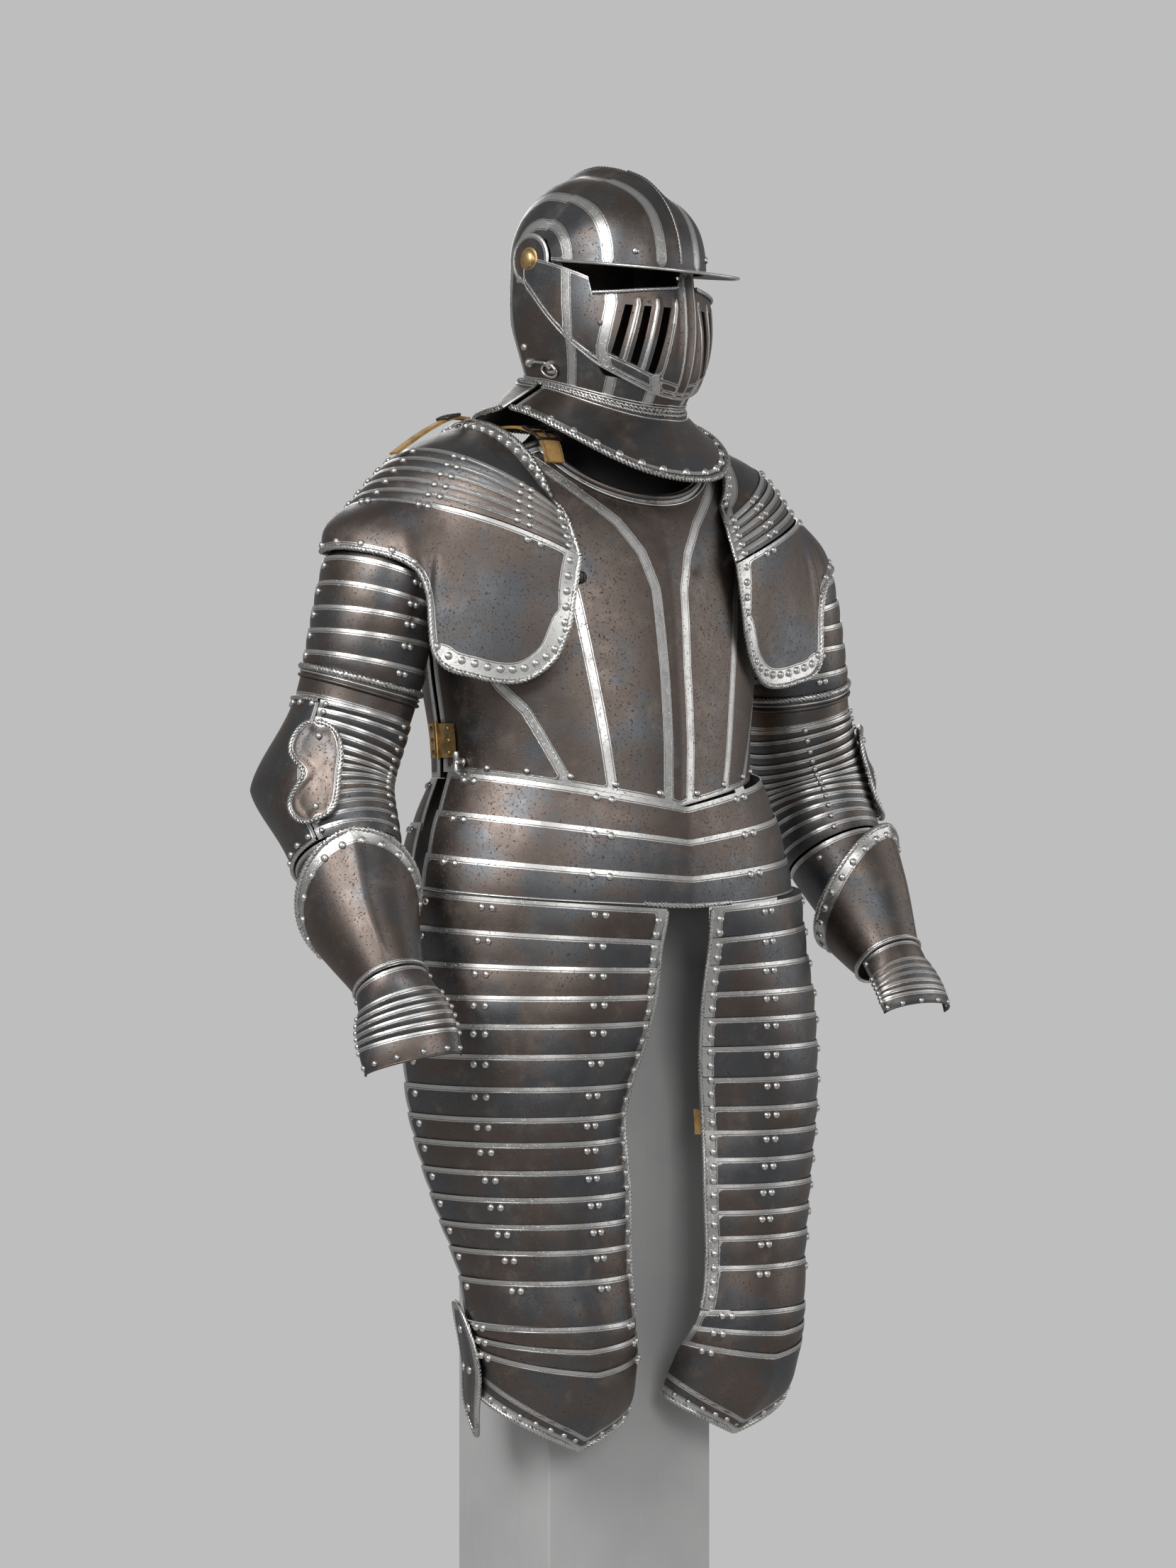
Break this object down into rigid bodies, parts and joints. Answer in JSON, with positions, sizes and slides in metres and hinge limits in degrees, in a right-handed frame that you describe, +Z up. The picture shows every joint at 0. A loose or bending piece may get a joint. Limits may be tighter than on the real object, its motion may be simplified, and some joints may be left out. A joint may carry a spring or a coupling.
{
  "type": "suit of plate armour on a display post with a limbless torso form",
  "caption": "Three-quarter suit of plate armour from close helmet to knee, with lamed arms and tassets, standing on a plain square display post.",
  "frame": {"origin": "centre of the underside of the stand's foot", "axes": "+Z up; the wearer faces -Y; the wearer's right is -X"},
  "size_m": [0.725, 0.45, 1.744],
  "materials": {
    "steel": "russet and grey patina with bright polished bands",
    "leather": "worn ochre leather",
    "brass": "dull brass",
    "stand": "matt pale grey",
    "form": "black felt"
  },
  "bodies": {
    "suit": {"breastplate": "steel", "backplate": "steel", "fauld": "steel", "culet": "steel", "tasset_right": "steel", "tasset_left": "steel", "knee_right": "steel", "knee_left": "steel", "knee_wing_right": "steel", "knee_wing_left": "steel", "pauldron_top_right": "steel", "pauldron_top_left": "steel", "pauldron_lames_right": "steel", "pauldron_lames_left": "steel", "pauldron_main_right": "steel", "pauldron_main_left": "steel", "arm_lames_right": "steel", "arm_lames_left": "steel", "turner_right": "steel", "turner_left": "steel", "upper_cannon_right": "steel", "upper_cannon_left": "steel", "elbow_cop_right": "steel", "elbow_cop_left": "steel", "elbow_lames_right": "steel", "elbow_lames_left": "steel", "elbow_wing_right": "steel", "elbow_wing_left": "steel", "lower_cannon_right": "steel", "lower_cannon_left": "steel", "gauntlet_cuff_right": "steel", "gauntlet_cuff_left": "steel", "gauntlet_hand_right": "steel", "gauntlet_hand_left": "steel", "helmet_skull": "steel", "helmet_bevor": "steel", "gorget_front": "steel", "gorget_back": "steel", "side_hinge_right": "brass", "side_hinge_left": "brass", "shoulder_strap_right": "leather", "shoulder_strap_left": "leather", "pauldron_strap_right": "leather", "pauldron_strap_left": "leather", "wing_nut_right": "steel", "wing_nut_left": "steel", "lance_rest_screw": "steel", "stand_foot": "stand", "stand_post": "stand", "torso_form": "form"},
    "visor": {"helmet_visor": "steel", "helmet_brow_plate": "steel", "pivot_rivet_right": "brass", "pivot_rivet_left": "brass"}
  },
  "joints": [
    {"name": "visor_pivot", "type": "hinge", "parent": "suit", "child": "visor", "pos_m": [-0.0035, -0.02, 1.645], "axis": [-0.9848, -0.1736, 0], "range_deg": [0, 45]}
  ]
}
